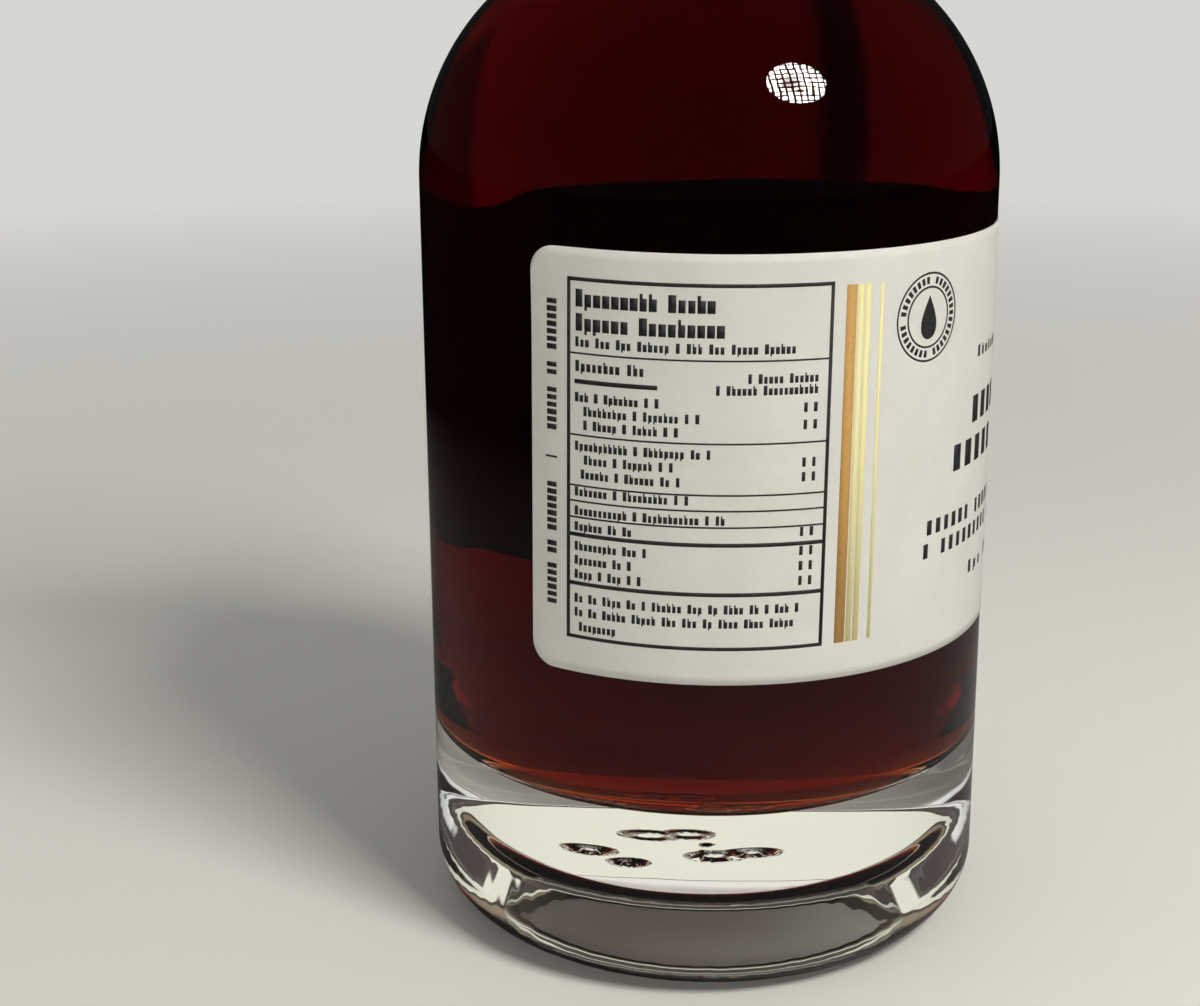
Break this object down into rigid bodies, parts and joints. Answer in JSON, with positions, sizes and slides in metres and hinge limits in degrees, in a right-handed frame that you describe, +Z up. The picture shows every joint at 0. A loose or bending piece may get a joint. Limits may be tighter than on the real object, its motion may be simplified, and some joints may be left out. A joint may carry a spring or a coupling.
{
  "type": "maple syrup bottle",
  "caption": "Round clear glass bottle with a thick base and round shoulders, filled with dark syrup, with a wrapped paper label and a bar-top stopper.",
  "frame": {"origin": "centre of the base, on the surface that the bottle stands on", "axes": "+Z up the bottle's axis; -Y is the front, where the left part of the label shows"},
  "size_m": [0.0761, 0.0762, 0.168],
  "materials": {
    "glass": "clear flint glass, polished",
    "syrup": "dark amber-red clear liquid",
    "paper": "matt coated white paper",
    "wood": "fine-grained turned wood, satin",
    "cork": "matt fine agglomerated cork"
  },
  "bodies": {
    "root": {"bottle": "glass", "syrup": "syrup", "label": "paper", "stopper_head": "wood", "stopper_cork": "cork"}
  },
  "joints": []
}
